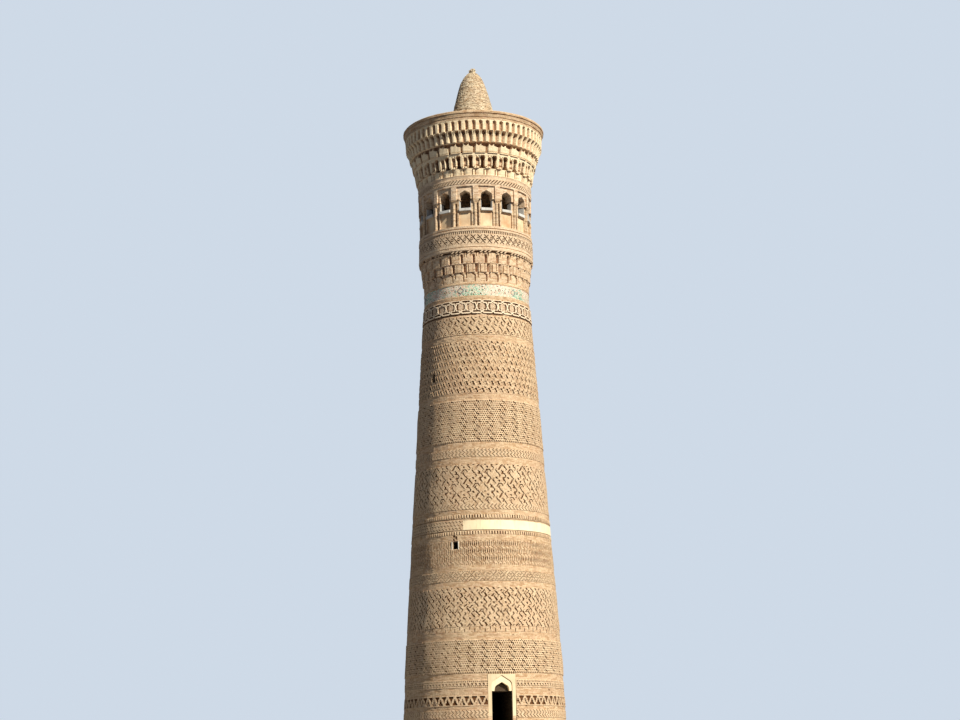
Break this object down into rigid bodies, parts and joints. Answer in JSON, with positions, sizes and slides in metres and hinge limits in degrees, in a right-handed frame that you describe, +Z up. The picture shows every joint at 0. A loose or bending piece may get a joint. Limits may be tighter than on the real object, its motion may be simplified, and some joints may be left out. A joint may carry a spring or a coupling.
{
  "type": "brick minaret, scale model at 1:2",
  "caption": "Round tapering brick minaret with belts of patterned brickwork, an arcaded lantern, a stepped niche cornice and a bullet-shaped cap.",
  "frame": {"origin": "on the ground, at the centre of the tower's foot", "axes": "+Z up the tower, doorway facing -Y, +X to the right seen from the doorway side"},
  "size_m": [5.15, 5.15, 22.8],
  "materials": {
    "brick": "baked brick laid in lime, weathered",
    "patterned_brick": "carved and patterned baked brick",
    "glazed_tile": "turquoise, white and cobalt glaze",
    "lime_plaster": "off-white lime plaster",
    "paving": "flat brick paving, dusty"
  },
  "bodies": {
    "root": {"plinth": "brick", "base_drum": "brick", "door_left_wall": "brick", "door_right_wall": "brick", "over_door_wall": "brick", "shaft_front_right": "brick", "shaft_right": "brick", "shaft_back_right": "brick", "shaft_back": "brick", "shaft_back_left": "brick", "shaft_left": "brick", "shaft_front_left": "brick", "lantern_vault": "brick", "cap": "brick", "cap_stub": "brick", "lower_muqarnas_1": "patterned_brick", "lower_muqarnas_2": "patterned_brick", "lower_muqarnas_3": "patterned_brick", "lantern_drum": "patterned_brick", "lantern_pier_01": "patterned_brick", "lantern_pier_02": "patterned_brick", "lantern_pier_03": "patterned_brick", "lantern_pier_04": "patterned_brick", "lantern_pier_05": "patterned_brick", "lantern_pier_06": "patterned_brick", "lantern_pier_07": "patterned_brick", "lantern_pier_08": "patterned_brick", "lantern_pier_09": "patterned_brick", "lantern_pier_10": "patterned_brick", "lantern_pier_11": "patterned_brick", "lantern_pier_12": "patterned_brick", "lantern_pier_13": "patterned_brick", "lantern_pier_14": "patterned_brick", "lantern_pier_15": "patterned_brick", "lantern_pier_16": "patterned_brick", "lantern_arcade_head": "patterned_brick", "lantern_frieze": "patterned_brick", "cornice_tier_1": "patterned_brick", "cornice_tier_2": "patterned_brick", "cornice_tier_3": "patterned_brick", "cornice_tier_4": "patterned_brick", "cornice_tier_5": "patterned_brick", "cornice_rim": "patterned_brick", "tile_band": "glazed_tile", "door_frame": "lime_plaster", "lantern_parapet": "lime_plaster", "entrance_floor": "paving", "lantern_floor": "paving", "roof": "paving"}
  },
  "joints": []
}
